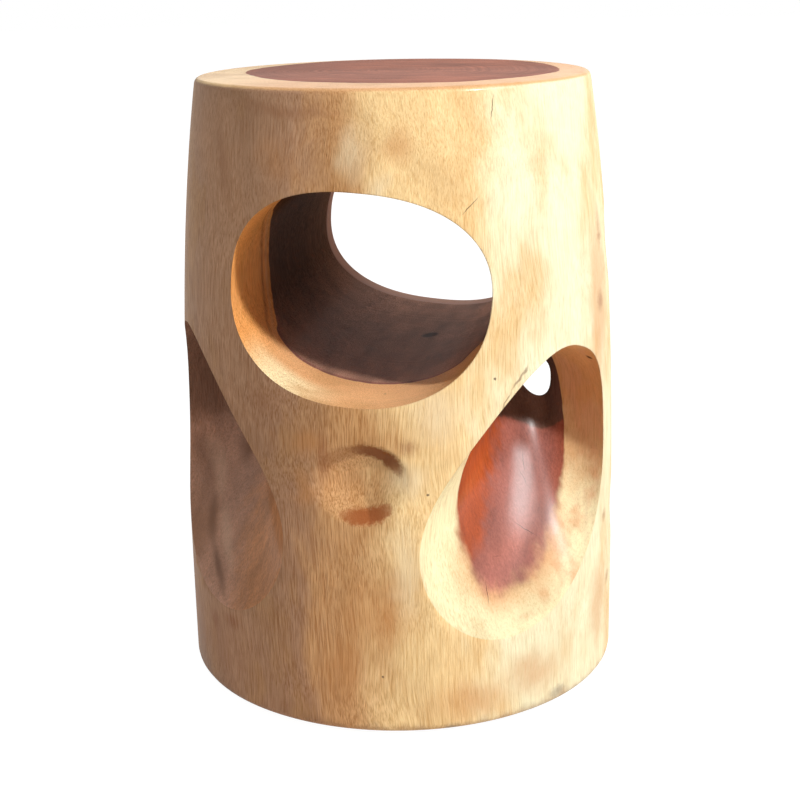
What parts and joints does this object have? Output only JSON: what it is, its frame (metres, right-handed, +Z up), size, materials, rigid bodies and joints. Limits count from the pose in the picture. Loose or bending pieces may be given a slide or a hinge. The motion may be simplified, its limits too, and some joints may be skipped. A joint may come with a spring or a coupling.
{
  "type": "carved log stool",
  "caption": "Solid wood stool carved from one tree trunk, with an oval tunnel through its upper half and deep scooped pockets in its sides.",
  "frame": {"origin": "on the floor, under the middle of the trunk", "axes": "+Z up the trunk to the seat, Y along the tunnel with the pictured mouth at -Y, +X to the right of that mouth"},
  "size_m": [0.33, 0.33, 0.45],
  "materials": {
    "wood": "satin lacquer over pale sapwood and dark brown heartwood",
    "glide": "matt dark brown plastic",
    "screw": "plain zinc-plated steel"
  },
  "bodies": {
    "root": {"carved_log": "wood", "glide_1": "glide", "glide_2": "glide", "glide_3": "glide", "glide_4": "glide", "glide_screw_1": "screw", "glide_screw_2": "screw", "glide_screw_3": "screw", "glide_screw_4": "screw"}
  },
  "joints": []
}
